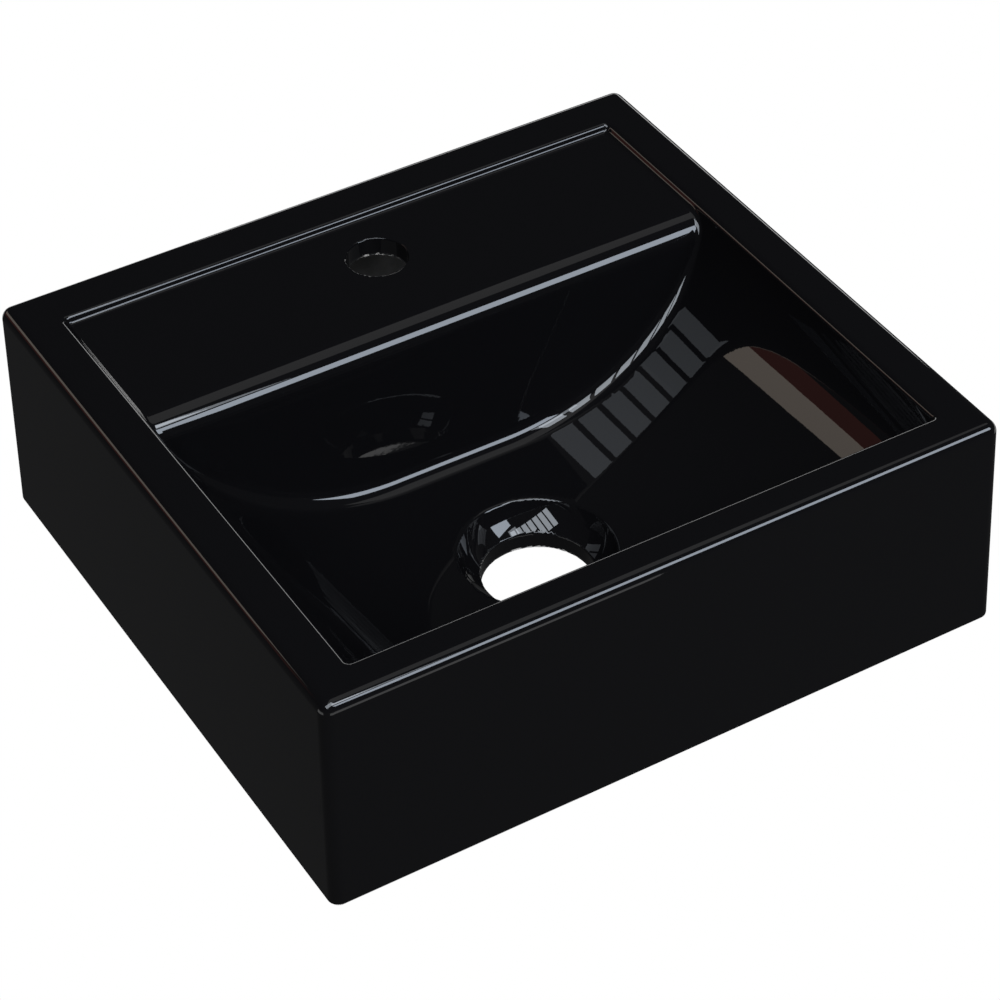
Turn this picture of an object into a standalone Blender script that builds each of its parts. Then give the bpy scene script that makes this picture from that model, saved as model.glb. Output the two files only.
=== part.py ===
"""A one-piece glazed wash basin with a sunk tap ledge, and the two wall fixings that carry it.

Metres, +Z up. The origin is on the wall face, midway between the two fixing holes: +X runs along
the wall, +Y goes into the wall, and the basin stands out towards -Y.
"""

import math

import bmesh
import bpy
from mathutils import Matrix, Vector

# Outside of the basin. Width and depth are measured at the rim; the foot is wider by the draft.
WIDTH = 0.400
DEPTH = 0.370
HEIGHT = 0.134
DRAFT = math.radians(1.5)
EDGE_RADIUS = 0.0065
FOOT_RADIUS = 0.002

# Rim, and the lip where it turns down into the hollow.
RIM_SIDE = 0.0255
RIM_FRONT = 0.0225
RIM_BACK = 0.030
LIP_RADIUS = 0.0022

# Tap ledge: sunk below the rim, with a rounded nose over the bowl.
LEDGE_DROP = 0.0045
LEDGE_DEPTH = 0.102
NOSE_RADIUS = 0.0095
TAP_HOLE_RADIUS = 0.0175
TAP_FROM_WALL = 0.066

# Bowl: a trough that runs from front to back, closed by two sloping flat walls.
BOWL_DEPTH = 0.0957
FLOOR_HALF_FLAT = 0.035
TROUGH_RISE = 0.118
FRONT_WALL_SLOPE = math.radians(8)
BACK_WALL_SLOPE = math.radians(10)
BOWL_FILLET = 0.004

# Waste outlet: a dish sunk in the floor, and a plain round hole below it.
WASTE_FROM_WALL = 0.235
WASTE_RADIUS = 0.031
DISH_RADIUS = 0.0437
DISH_DEPTH = 0.015
DISH_EDGE = 0.001
OUTLET_LENGTH = 0.011
OUTLET_WALL = 0.013

# Thickness of the ceramic.
SHELL_WALL = 0.012
SKIRT_WALL = 0.014
WALL_FACE_THICKNESS = 0.016

# Wall fixings. The hole, washer, collar and plug are sized from the bolt outwards.
FIXING_HEIGHT = 0.062
FIXING_SPACING = 0.200
BOLT_RADIUS = 0.005
BOLT_PAST_NUT = 0.008
BOLT_POINT = 0.009
SLEEVE_WALL = 0.0024
COLLAR_BAND = 0.007
COLLAR_FLANGE = 0.004
COLLAR_SHORT_OF_FACE = 0.004
WASHER_BAND = 0.0067
WASHER_THICKNESS = 0.002
NUT_WALL = 0.0032
NUT_THICKNESS = 0.008
PLUG_WALL = 0.0017
PLUG_LENGTH = 0.060
PLUG_PAST_BOLT = 0.004

GAP = 0.0003  # between pieces that touch
OVERRUN = 0.010  # how far a cutter runs past what it cuts
LIP_OVERRUN = 0.00005  # how far a lip's arc runs above the rim, so that it crosses the rim's face
ROUND_STEPS = 24
WASTE_STEPS = 40
ARC_STEPS = 3
DISH_STEPS = 5
TROUGH_STEPS = 12

# Heights and places that follow from the sizes above.
FOOT_Z = -FIXING_HEIGHT
RIM_Z = FOOT_Z + HEIGHT
LEDGE_Z = RIM_Z - LEDGE_DROP
FLOOR_Z = RIM_Z - BOWL_DEPTH
OUTLET_Z = FLOOR_Z - DISH_DEPTH - OUTLET_LENGTH
ROOF_Z = LEDGE_Z - SHELL_WALL
HOLLOW_HALF_WIDTH = WIDTH / 2 - RIM_SIDE
HOLLOW_FRONT = -DEPTH + RIM_FRONT
HOLLOW_BACK = -RIM_BACK
NOSE_Y = HOLLOW_BACK - LEDGE_DEPTH
INNER_FACE_Y = -WALL_FACE_THICKNESS
BOLT_BORE_RADIUS = BOLT_RADIUS + GAP
SLEEVE_RADIUS = BOLT_BORE_RADIUS + SLEEVE_WALL
FIXING_HOLE_RADIUS = SLEEVE_RADIUS + GAP

GLAZE = ("black_glaze", (0.006, 0.006, 0.007), 0.06, 0.0)
STEEL = ("zinc_plated_steel", (0.62, 0.62, 0.60), 0.35, 1.0)
WHITE_NYLON = ("white_nylon", (0.80, 0.79, 0.75), 0.5, 0.0)
GREY_NYLON = ("grey_nylon", (0.30, 0.31, 0.33), 0.55, 0.0)


def clear_scene():
    for obj in list(bpy.data.objects):
        bpy.data.objects.remove(obj)


def new_collection(name):
    collection = bpy.data.collections.new(name)
    bpy.context.scene.collection.children.link(collection)
    return collection


def new_material(name, colour, roughness, metallic):
    material = bpy.data.materials.new(name)
    material.use_nodes = True
    shader = material.node_tree.nodes["Principled BSDF"]
    shader.inputs["Base Color"].default_value = (*colour, 1)
    shader.inputs["Roughness"].default_value = roughness
    shader.inputs["Metallic"].default_value = metallic
    return material


def mesh_object(name, bm, collection):
    mesh = bpy.data.meshes.new(name)
    bm.to_mesh(mesh)
    bm.free()
    obj = bpy.data.objects.new(name, mesh)
    collection.objects.link(obj)
    return obj


def as_cutter(obj):
    obj.hide_render = True
    obj.display_type = "WIRE"
    return obj


def boolean(obj, other, operation):
    modifier = obj.modifiers.new(f"{operation.lower()}_{other.name}", "BOOLEAN")
    modifier.operation = operation
    modifier.solver = "EXACT"
    modifier.object = other


def bake(obj):
    """Replaces the object's mesh with what its modifiers make of it."""
    bpy.context.view_layer.update()
    graph = bpy.context.evaluated_depsgraph_get()
    mesh = bpy.data.meshes.new_from_object(obj.evaluated_get(graph))
    obj.modifiers.clear()
    obj.data = mesh


def arc(centre, radius, start, end, steps=ARC_STEPS):
    """Points on an arc, both ends included, with angles in radians from the first axis."""
    turns = [start + (end - start) * i / steps for i in range(steps + 1)]
    return [(centre[0] + radius * math.cos(a), centre[1] + radius * math.sin(a)) for a in turns]


def round_corner(before, corner, after, radius, steps=ARC_STEPS):
    """The arc of this radius that joins the two straight lines meeting at a corner."""
    corner = Vector(corner)
    to_before = (Vector(before) - corner).normalized()
    to_after = (Vector(after) - corner).normalized()
    half = to_before.angle(to_after) / 2
    centre = corner + (to_before + to_after).normalized() * (radius / math.sin(half))
    reach = radius / math.tan(half)
    first = corner + to_before * reach - centre
    last = corner + to_after * reach - centre
    start = math.atan2(first.y, first.x)
    sweep = (math.atan2(last.y, last.x) - start + math.pi) % math.tau - math.pi
    return arc(centre, radius, start, start + sweep, steps)


def prism(name, outline, half_length, plane, collection):
    """A flat outline drawn in the XZ or the YZ plane, extruded both ways from it."""
    curve = bpy.data.curves.new(name, "CURVE")
    curve.dimensions = "2D"
    curve.fill_mode = "BOTH"
    curve.extrude = half_length
    spline = curve.splines.new("POLY")
    spline.points.add(len(outline) - 1)
    for point, (u, v) in zip(spline.points, outline):
        point.co = (u, v, 0, 1)
    spline.use_cyclic_u = True
    guide = bpy.data.objects.new(name, curve)
    collection.objects.link(guide)
    turn = Matrix.Rotation(math.pi / 2, 4, "X")
    guide.matrix_world = Matrix.Rotation(math.pi / 2, 4, "Z") @ turn if plane == "YZ" else turn
    bpy.context.view_layer.update()
    graph = bpy.context.evaluated_depsgraph_get()
    bm = bmesh.new()
    bm.from_mesh(bpy.data.meshes.new_from_object(guide.evaluated_get(graph)))
    bmesh.ops.remove_doubles(bm, verts=bm.verts, dist=1e-6)
    bmesh.ops.recalc_face_normals(bm, faces=bm.faces)
    bm.transform(guide.matrix_world)
    bpy.data.objects.remove(guide)
    return mesh_object(name, bm, collection)


def turned(name, profile, place, collection, steps=ROUND_STEPS):
    """A profile of (radius, height) points from the top down, turned about its own Z axis."""
    bm = bmesh.new()
    verts = [bm.verts.new((radius, 0, height)) for radius, height in profile]
    for upper, lower in zip(verts, verts[1:]):
        bm.edges.new((upper, lower))
    if profile[0][0] > 0 and profile[-1][0] > 0:
        bm.edges.new((verts[-1], verts[0]))
    obj = mesh_object(name, bm, collection)
    obj.matrix_world = place
    screw = obj.modifiers.new("turn", "SCREW")
    screw.steps = screw.render_steps = steps
    screw.use_merge_vertices = True
    screw.merge_threshold = 1e-6
    return obj


def drafted_block(name, half_width, front, back, top, bottom, collection):
    """A block whose left, right and front faces lean out towards the foot by the draft."""
    spread = (RIM_Z - bottom) * math.tan(DRAFT)
    narrow = (RIM_Z - top) * math.tan(DRAFT)
    bm = bmesh.new()
    bmesh.ops.create_cube(bm, size=1)
    for vert in bm.verts:
        lean = narrow if vert.co.z > 0 else spread
        vert.co.x = math.copysign(half_width + lean, vert.co.x)
        vert.co.y = back if vert.co.y > 0 else front - lean
        vert.co.z = top if vert.co.z > 0 else bottom
    return mesh_object(name, bm, collection)


def outer_block(collection):
    """The outside of the basin, with rounded rim and corners and a small round at the foot."""
    block = drafted_block("basin_body", WIDTH / 2, -DEPTH, 0, RIM_Z, FOOT_Z, collection)
    bm = bmesh.new()
    bm.from_mesh(block.data)
    rounded = [e for e in bm.edges if max(v.co.z for v in e.verts) > FOOT_Z + FOOT_RADIUS]
    bmesh.ops.bevel(
        bm, geom=rounded, offset=EDGE_RADIUS, offset_type="OFFSET", segments=4, profile=0.5, affect="EDGES"
    )
    foot = [e for e in bm.edges if max(v.co.z for v in e.verts) < FOOT_Z + 1e-6]
    bmesh.ops.bevel(
        bm, geom=foot, offset=FOOT_RADIUS, offset_type="OFFSET", segments=2, profile=0.5, affect="EDGES"
    )
    bm.to_mesh(block.data)
    bm.free()
    return block


def trough_half(grow, top):
    """Right half of the trough's cross-section, from the flat floor up to a height: (x, z) points.

    The side is part of an ellipse that reaches the hollow's edge at the rim. grow moves it outwards.
    """
    centre_z = FLOOR_Z + TROUGH_RISE
    at_rim = math.sqrt(1 - ((centre_z - RIM_Z) / TROUGH_RISE) ** 2)
    reach = (HOLLOW_HALF_WIDTH - FLOOR_HALF_FLAT) / at_rim + grow
    rise = TROUGH_RISE + grow
    last = math.acos((centre_z - top) / rise)
    angles = [last * i / TROUGH_STEPS for i in range(TROUGH_STEPS + 1)]
    return [(FLOOR_HALF_FLAT + reach * math.sin(a), centre_z - rise * math.cos(a)) for a in angles]


def mirrored(half):
    """A closed outline from its right half, which runs from the bottom to the top."""
    return half + [(-x, z) for x, z in reversed(half)]


def hollow_cutter(collection):
    """What the rim encloses: the sunk ledge and the bowl in front of it, as two crossing outlines."""
    side = trough_half(0, RIM_Z - 2 * LIP_RADIUS)
    lip_z = RIM_Z + LIP_OVERRUN
    side += round_corner(side[-1], (HOLLOW_HALF_WIDTH, lip_z), (WIDTH, lip_z), LIP_RADIUS)
    top = RIM_Z + OVERRUN
    side.append((side[-1][0], top))
    across = prism("hollow_across", mirrored(side), DEPTH, "XZ", collection)

    below = FLOOR_Z - OVERRUN
    front_foot = (HOLLOW_FRONT + (RIM_Z - below) * math.tan(FRONT_WALL_SLOPE), below)
    back_foot = (NOSE_Y - (LEDGE_Z - below) * math.tan(BACK_WALL_SLOPE), below)
    front_lip = round_corner(front_foot, (HOLLOW_FRONT, lip_z), (-DEPTH, lip_z), LIP_RADIUS)
    nose = round_corner(back_foot, (NOSE_Y, LEDGE_Z), (HOLLOW_BACK, LEDGE_Z), NOSE_RADIUS, 6)
    back_lip = round_corner((HOLLOW_BACK, LEDGE_Z), (HOLLOW_BACK, lip_z), (0, lip_z), LIP_RADIUS)
    section = [front_foot, back_foot, *nose, (HOLLOW_BACK, LEDGE_Z), *back_lip]
    over = top + OVERRUN
    section += [(back_lip[-1][0], over), (front_lip[-1][0], over), *reversed(front_lip)]
    along = prism("hollow_along", section, WIDTH, "YZ", collection)

    boolean(across, as_cutter(along), "INTERSECT")
    bake(across)
    bm = bmesh.new()
    bm.from_mesh(across.data)
    creases = [
        e
        for e in bm.edges
        if max(v.co.z for v in e.verts) < LEDGE_Z - NOSE_RADIUS
        and e.calc_face_angle(0) > math.radians(40)
    ]
    bmesh.ops.bevel(
        bm, geom=creases, offset=BOWL_FILLET, offset_type="OFFSET", segments=2, profile=0.5, affect="EDGES"
    )
    bm.to_mesh(across.data)
    bm.free()
    return as_cutter(across)


def underside_cutter(collection):
    """The open underside: the space inside the skirt, less the bowl's own wall and the waste outlet."""
    cavity = drafted_block(
        "underside",
        WIDTH / 2 - SKIRT_WALL,
        -DEPTH + SKIRT_WALL,
        INNER_FACE_Y,
        ROOF_Z,
        FOOT_Z - OVERRUN,
        collection,
    )
    top = ROOF_Z + OVERRUN
    over = top + OVERRUN
    jacket = prism("jacket_across", mirrored(trough_half(SHELL_WALL, top)), DEPTH, "XZ", collection)
    below = FOOT_Z
    front = HOLLOW_FRONT - SHELL_WALL / math.cos(FRONT_WALL_SLOPE)
    back = NOSE_Y + SHELL_WALL / math.cos(BACK_WALL_SLOPE)
    section = [
        (front + (RIM_Z - below) * math.tan(FRONT_WALL_SLOPE), below),
        (back - (LEDGE_Z - below) * math.tan(BACK_WALL_SLOPE), below),
        (back - (LEDGE_Z - over) * math.tan(BACK_WALL_SLOPE), over),
        (front + (RIM_Z - over) * math.tan(FRONT_WALL_SLOPE), over),
    ]
    walls = prism("jacket_along", section, WIDTH, "YZ", collection)
    boolean(jacket, as_cutter(walls), "INTERSECT")
    outlet = round_cutter(
        "outlet_boss",
        (0, -WASTE_FROM_WALL, OUTLET_Z),
        (0, -WASTE_FROM_WALL, FLOOR_Z),
        (WASTE_RADIUS + OUTLET_WALL, DISH_RADIUS + OUTLET_WALL),
        collection,
    )
    boolean(cavity, as_cutter(jacket), "DIFFERENCE")
    boolean(cavity, outlet, "DIFFERENCE")
    return as_cutter(cavity)


def waste_cutter(collection):
    """The sunk dish and the hole under it."""
    span = DISH_RADIUS - WASTE_RADIUS
    drop = DISH_DEPTH - DISH_EDGE
    quarter = arc((0, 0), 1, 0, math.pi / 2, DISH_STEPS)
    dish = [(WASTE_RADIUS + span * u, FLOOR_Z - DISH_EDGE - drop * v) for u, v in quarter]
    profile = [(0, FLOOR_Z + OVERRUN), (DISH_RADIUS, FLOOR_Z + OVERRUN), *dish]
    profile += [(WASTE_RADIUS, OUTLET_Z - OVERRUN), (0, OUTLET_Z - OVERRUN)]
    place = Matrix.Translation((0, -WASTE_FROM_WALL, 0))
    return as_cutter(turned("waste", profile, place, collection, WASTE_STEPS))


def round_cutter(name, start, end, radii, collection):
    """A cylinder or cone between two points on its axis, with a radius at each."""
    start, end = Vector(start), Vector(end)
    bm = bmesh.new()
    bmesh.ops.create_cone(
        bm,
        cap_ends=True,
        segments=WASTE_STEPS,
        radius1=radii[0],
        radius2=radii[1],
        depth=(end - start).length,
    )
    obj = mesh_object(name, bm, collection)
    turn = Vector((0, 0, 1)).rotation_difference(end - start).to_matrix().to_4x4()
    obj.matrix_world = Matrix.Translation((start + end) / 2) @ turn
    return as_cutter(obj)


def hole_cutter(name, start, end, radius, collection):
    return round_cutter(name, start, end, (radius, radius), collection)


def basin_body(parts, cutters):
    body = outer_block(parts)
    tap_start = (0, -TAP_FROM_WALL, ROOF_Z - OVERRUN)
    tap_end = (0, -TAP_FROM_WALL, RIM_Z + OVERRUN)
    holes = [
        hollow_cutter(cutters),
        underside_cutter(cutters),
        waste_cutter(cutters),
        hole_cutter("tap", tap_start, tap_end, TAP_HOLE_RADIUS, cutters),
    ]
    for side, x in fixing_sides():
        start, end = (x, INNER_FACE_Y - OVERRUN, 0), (x, OVERRUN, 0)
        holes.append(hole_cutter(f"fixing_{side}", start, end, FIXING_HOLE_RADIUS, cutters))
    for hole in holes:
        boolean(body, hole, "DIFFERENCE")
    return body


def fixing_sides():
    return (("left", -FIXING_SPACING / 2), ("right", FIXING_SPACING / 2))


def fixing(side, x, parts, cutters):
    """One wall fixing, as (object, finish) pairs. Its own Z axis points into the wall."""
    place = Matrix.Translation((x, 0, 0)) @ Matrix.Rotation(-math.pi / 2, 4, "X")
    bore = BOLT_BORE_RADIUS
    collar_seat = INNER_FACE_Y - GAP
    washer_seat = collar_seat - COLLAR_FLANGE - GAP
    nut_seat = washer_seat - WASHER_THICKNESS - GAP
    bolt_start = nut_seat - NUT_THICKNESS - BOLT_PAST_NUT
    bolt_end = GAP + PLUG_LENGTH - PLUG_PAST_BOLT
    chamfer = BOLT_RADIUS / 4

    bolt = turned(
        f"hanger_bolt_{side}",
        [
            (0, bolt_end),
            (BOLT_RADIUS, bolt_end - BOLT_POINT),
            (BOLT_RADIUS, bolt_start + chamfer),
            (BOLT_RADIUS - chamfer, bolt_start),
            (0, bolt_start),
        ],
        place,
        parts,
    )
    sleeve_end = -COLLAR_SHORT_OF_FACE
    collar_radius = FIXING_HOLE_RADIUS + COLLAR_BAND
    collar = turned(
        f"collar_{side}",
        [
            (bore, sleeve_end),
            (SLEEVE_RADIUS, sleeve_end),
            (SLEEVE_RADIUS, collar_seat),
            (collar_radius, collar_seat),
            (collar_radius, collar_seat - COLLAR_FLANGE),
            (bore, collar_seat - COLLAR_FLANGE),
        ],
        place,
        parts,
    )
    washer = turned(
        f"washer_{side}",
        [
            (bore, washer_seat),
            (bore + WASHER_BAND, washer_seat),
            (bore + WASHER_BAND, washer_seat - WASHER_THICKNESS),
            (bore, washer_seat - WASHER_THICKNESS),
        ],
        place,
        parts,
    )
    corner_radius = (bore + NUT_WALL) / math.cos(math.pi / 6)
    nut_end = nut_seat - NUT_THICKNESS
    nut = turned(
        f"hex_nut_{side}",
        [(0, nut_seat), (corner_radius, nut_seat), (corner_radius, nut_end), (0, nut_end)],
        place,
        parts,
        6,
    )
    start, end = (x, nut_end - OVERRUN, 0), (x, nut_seat + OVERRUN, 0)
    boolean(nut, hole_cutter(f"nut_bore_{side}", start, end, bore, cutters), "DIFFERENCE")
    plug = turned(
        f"wall_plug_{side}",
        [
            (bore, GAP + PLUG_LENGTH),
            (bore + PLUG_WALL, GAP + PLUG_LENGTH),
            (bore + PLUG_WALL, GAP),
            (bore, GAP),
        ],
        place,
        parts,
    )
    return [(bolt, STEEL), (collar, WHITE_NYLON), (washer, STEEL), (nut, STEEL), (plug, GREY_NYLON)]


def main():
    clear_scene()
    parts = new_collection("wash_basin")
    cutters = new_collection("cutters")
    finishes = {f[0]: new_material(*f) for f in (GLAZE, STEEL, WHITE_NYLON, GREY_NYLON)}
    pieces = [(basin_body(parts, cutters), GLAZE)]
    for side, x in fixing_sides():
        pieces += fixing(side, x, parts, cutters)
    for obj, finish in pieces:
        obj.data.materials.append(finishes[finish[0]])
        obj.data.shade_smooth()
        obj.data.set_sharp_from_angle(angle=math.radians(35))


main()
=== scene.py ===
"""Looks of a black glazed wash basin and its two wall fixings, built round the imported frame.

Metres throughout. The origin is on the wall face midway between the fixing holes, +Y goes into the
wall and +Z is up. The ceramic is described as a field of distances, so that every edge and corner has
its own round, and is meshed from that; the fixings are turned, threaded and slotted pieces.
"""

import logging
import math
from dataclasses import dataclass, field
from enum import Enum
from typing import Callable, Sequence

import bmesh
import bpy
import numpy as np
from mathutils import Matrix, Vector


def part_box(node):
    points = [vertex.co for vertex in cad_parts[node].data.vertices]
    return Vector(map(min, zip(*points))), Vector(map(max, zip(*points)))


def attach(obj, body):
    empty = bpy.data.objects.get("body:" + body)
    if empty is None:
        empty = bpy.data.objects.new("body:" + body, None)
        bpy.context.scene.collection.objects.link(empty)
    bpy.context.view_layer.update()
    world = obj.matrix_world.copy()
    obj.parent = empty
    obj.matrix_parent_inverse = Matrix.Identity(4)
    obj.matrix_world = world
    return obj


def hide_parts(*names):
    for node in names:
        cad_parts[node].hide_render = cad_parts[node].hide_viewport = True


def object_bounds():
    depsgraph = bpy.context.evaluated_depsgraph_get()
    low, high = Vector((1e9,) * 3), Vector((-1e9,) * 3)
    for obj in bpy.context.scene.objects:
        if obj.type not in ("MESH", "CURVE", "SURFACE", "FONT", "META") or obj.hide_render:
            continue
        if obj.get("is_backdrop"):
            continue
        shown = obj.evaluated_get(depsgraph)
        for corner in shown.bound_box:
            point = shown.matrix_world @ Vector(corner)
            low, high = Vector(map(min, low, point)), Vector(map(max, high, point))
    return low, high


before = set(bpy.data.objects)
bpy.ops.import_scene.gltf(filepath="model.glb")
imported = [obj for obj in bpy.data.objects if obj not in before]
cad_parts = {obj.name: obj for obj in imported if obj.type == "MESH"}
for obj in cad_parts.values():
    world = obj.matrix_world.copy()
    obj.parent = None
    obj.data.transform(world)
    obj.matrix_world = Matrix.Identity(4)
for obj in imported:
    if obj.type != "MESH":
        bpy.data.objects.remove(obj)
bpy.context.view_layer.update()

LOG = logging.getLogger("wash_basin")
BODY = "root"
MM = 0.001
BASIN_MIDDLE = -190 * MM
FLAT_ANGLE = 0.0006  # radians between faces that are merged as one flat
SHARP_ANGLE = math.radians(50)
FLOOR_GAP = 0.3 * MM
SENSOR_WIDTH = 36.0
WHITE = (1.0, 1.0, 1.0, 1.0)
CLEAR_SKY = (0.78, 0.87, 1.0)
PALE_SKY = (0.84, 0.91, 1.0)
BEIGE = (1.0, 0.86, 0.74)
EMBER = (1.0, 0.24, 0.16)
FAR = 5.0

Array = np.ndarray


# ---------------------------------------------------------------------------------------------
# Distance fields
# ---------------------------------------------------------------------------------------------


def round_meet(first: Array, second: Array, radius: Array | float) -> Array:
    """The space inside both fields, with its shared edge rounded.

    Args:
        first: Signed distances, negative inside.
        second: Signed distances, negative inside.
        radius: Radius of the round, in metres.

    Returns:
        Signed distances of the common space.
    """
    u, v = first + radius, second + radius
    return np.minimum(np.maximum(first, second), -radius) + np.hypot(np.maximum(u, 0), np.maximum(v, 0))


def round_join(first: Array, second: Array, radius: Array | float) -> Array:
    """The space inside either field, with the hollow between them filled to a radius."""
    return -round_meet(-first, -second, radius)


def quarter_ellipse(across: Array, down: Array, reach: float, drop: float) -> Array:
    """Distance from the side of an ellipse with the given half axes, to first order.

    Args:
        across: Distance from the ellipse's centre along its first axis; less than nothing counts as nothing.
        down: The same along its second axis.
        reach: Half axis across.
        drop: Half axis down.

    Returns:
        Signed distances, negative inside.
    """
    u, v = np.maximum(across, 0), np.maximum(down, 0)
    size = np.sqrt((u / reach) ** 2 + (v / drop) ** 2) + 1e-9
    slope = np.sqrt((u / reach**2) ** 2 + (v / drop**2) ** 2) / size + 1e-9
    return (size - 1) / np.maximum(slope, 1 / max(reach, drop) / 2)


@dataclass(frozen=True)
class GridLines:
    """Places of the grid's planes along one axis, closer together where the shape is small."""

    stops: tuple[tuple[float, float], ...]
    start: float

    def places(self) -> Array:
        """Steps from each stop to the next, in equal steps of about the stated size.

        Returns:
            The planes' places.
        """
        found, low = [self.start], self.start
        for high, step in self.stops:
            count = max(1, math.ceil((high - low) / step - 1e-9))
            found += [low + (high - low) * i / count for i in range(1, count + 1)]
            low = high
        return np.array(found)


class SurfaceNet:
    """Meshes the zero surface of a distance field on a grid of uneven planes."""

    PULLS = 6
    NUDGE = 0.02 * MM
    LEAST_SLOPE = 0.2  # squared; keeps a pull short where the field is nearly level

    def __init__(self, shape: Callable[[Array], Array], planes: Sequence[Array]) -> None:
        """Samples the field on the grid.

        Args:
            shape: Gives the signed distance of each point of an array of points.
            planes: The grid's planes along X, Y and Z.
        """
        self.shape = shape
        self.grid = np.stack(np.meshgrid(*planes, indexing="ij"), axis=-1)
        self.depth = shape(self.grid)

    def slope(self, points: Array) -> Array:
        """Works out the field's gradient by differences.

        Args:
            points: Where to work it out.

        Returns:
            The gradient at each point.
        """
        parts = []
        for axis in range(3):
            step = np.zeros(3)
            step[axis] = self.NUDGE
            parts.append((self.shape(points + step) - self.shape(points - step)) / (2 * self.NUDGE))
        return np.stack(parts, axis=-1)

    def pulled(self, points: Array) -> Array:
        """Moves points onto the surface along the field's gradient.

        Args:
            points: Points near the surface.

        Returns:
            The points moved.
        """
        for _ in range(self.PULLS):
            slope = self.slope(points)
            length = np.maximum((slope**2).sum(axis=-1, keepdims=True), self.LEAST_SLOPE)
            points = points - slope * self.shape(points)[:, None] / length
        return points

    def mesh(self) -> tuple[Array, Array]:
        """Puts a point in each cell that the surface crosses, and a face round each crossed edge.

        Returns:
            The surface's points, and its four-sided faces.
        """
        cells = tuple(n - 1 for n in self.depth.shape)
        total, hits = np.zeros((*cells, 3)), np.zeros(cells)
        crossings = []
        for axis in range(3):
            low = np.moveaxis(self.depth, axis, 0)[:-1]
            high = np.moveaxis(self.depth, axis, 0)[1:]
            crossed = (low < 0) != (high < 0)
            share = np.where(crossed, low / np.where(crossed, low - high, 1), 0)[..., None]
            start = np.moveaxis(self.grid, axis, 0)[:-1]
            end = np.moveaxis(self.grid, axis, 0)[1:]
            place = start + (end - start) * share
            others = [a for a in range(3) if a != axis]
            index = np.argwhere(crossed)
            index = np.stack([index[:, [axis, *others].index(a)] for a in range(3)], axis=1)
            point = place[crossed]
            rising = (low < 0)[crossed]
            around = []
            for first, second in ((0, 0), (-1, 0), (-1, -1), (0, -1)):
                cell = index.copy()
                cell[:, others[0]] += first
                cell[:, others[1]] += second
                np.add.at(total, tuple(cell.T), point)
                np.add.at(hits, tuple(cell.T), 1)
                around.append(cell)
            crossings.append((np.stack(around, axis=1), rising, axis))
        number = np.full(cells, -1)
        used = hits > 0
        number[used] = np.arange(used.sum())
        points = self.pulled(total[used] / hits[used][:, None])
        faces = []
        for around, rising, axis in crossings:
            quads = number[tuple(np.moveaxis(around, -1, 0))]
            turned = rising == (axis != 1)
            faces.append(np.where(turned[:, None], quads, quads[:, ::-1]))
        return points, np.concatenate(faces)


def net_mesh(
    name: str, shape: Callable[[Array], Array], planes: Sequence[Array]
) -> tuple[bpy.types.Mesh, Array, Array]:
    """Meshes a distance field, thins its flats, and gives it the field's own normals.

    Args:
        name: The mesh's name.
        shape: The distance field.
        planes: The grid's planes along X, Y and Z.

    Returns:
        The mesh, its points, and its normals.
    """
    net = SurfaceNet(shape, planes)
    points, faces = net.mesh()
    mesh = bpy.data.meshes.new(name)
    mesh.from_pydata(points.tolist(), [], faces.tolist())
    bm = bmesh.new()
    bm.from_mesh(mesh)
    bmesh.ops.dissolve_limit(bm, angle_limit=FLAT_ANGLE, verts=bm.verts, edges=bm.edges)
    bmesh.ops.triangulate(bm, faces=[f for f in bm.faces if len(f.verts) > 4])
    bm.to_mesh(mesh)
    bm.free()
    points = np.empty(len(mesh.vertices) * 3)
    mesh.vertices.foreach_get("co", points)
    points = points.reshape(-1, 3)
    slope = net.slope(points)
    slope /= np.linalg.norm(slope, axis=1, keepdims=True)
    mesh.shade_smooth()
    mesh.normals_split_custom_set_from_vertices(slope.tolist())
    return mesh, points, slope


# ---------------------------------------------------------------------------------------------
# Nodes
# ---------------------------------------------------------------------------------------------


def new_object(name: str, mesh: bpy.types.Mesh) -> bpy.types.Object:
    """Links a new object that shows a mesh.

    Args:
        name: The object's name.
        mesh: What it shows.

    Returns:
        The object.
    """
    obj = bpy.data.objects.new(name, mesh)
    bpy.context.scene.collection.objects.link(obj)
    return obj


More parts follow.
